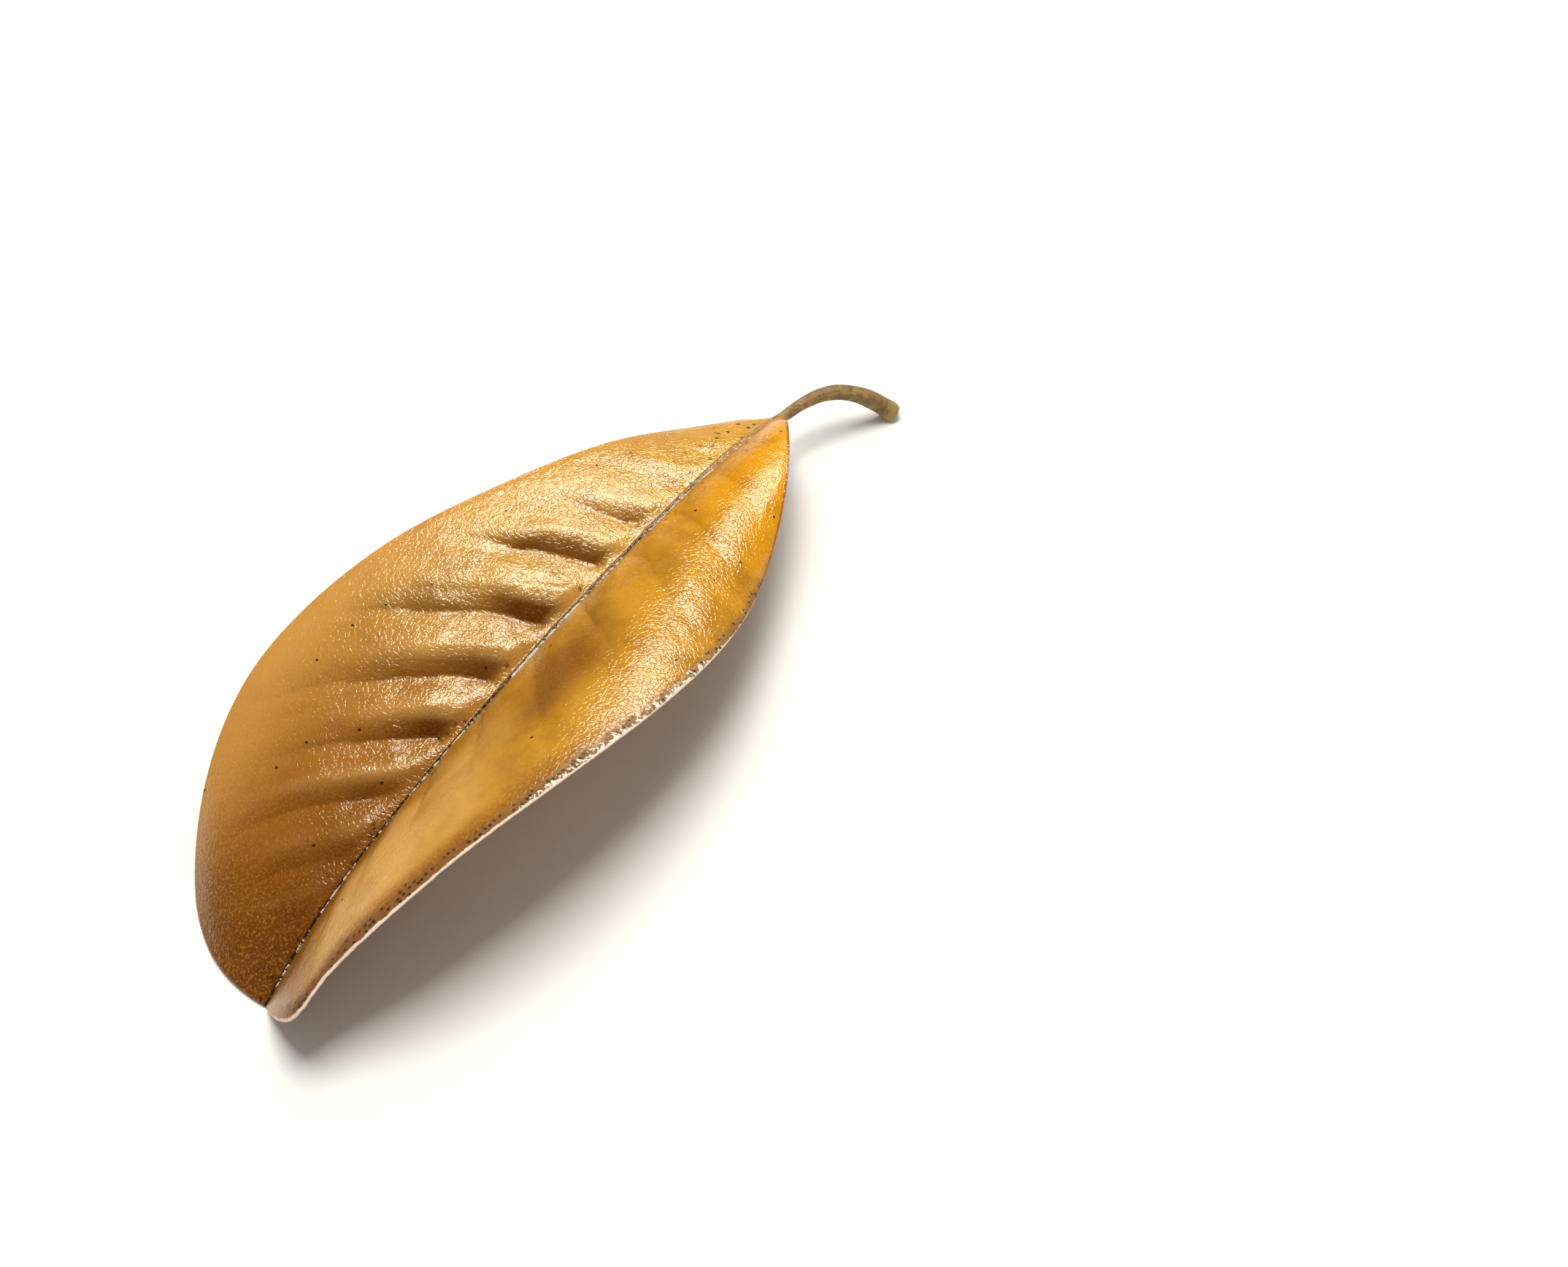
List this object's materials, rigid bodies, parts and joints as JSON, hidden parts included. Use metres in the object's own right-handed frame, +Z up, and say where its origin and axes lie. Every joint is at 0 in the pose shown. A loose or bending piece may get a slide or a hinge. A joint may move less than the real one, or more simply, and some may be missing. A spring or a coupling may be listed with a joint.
{
  "type": "dried leaf",
  "caption": "Whole fallen leaf, dried hard and leathery: one half of the blade lies spread, the other is folded up along the midrib and arches over, with a curved stalk.",
  "frame": {"origin": "under the middle of the leaf's bounding box, on the surface the leaf lies on", "axes": "+X along the midrib from the stalk to the tip, +Z up, so +Y is on the side of the half that is folded up and -Y on the side of the half that lies spread"},
  "size_m": [0.1156, 0.0446, 0.0209],
  "materials": {
    "dried_leaf": "dried leaf skin, satin to glossy on the upper face, matte underneath"
  },
  "bodies": {
    "root": {"leaf": "dried_leaf"}
  },
  "joints": []
}
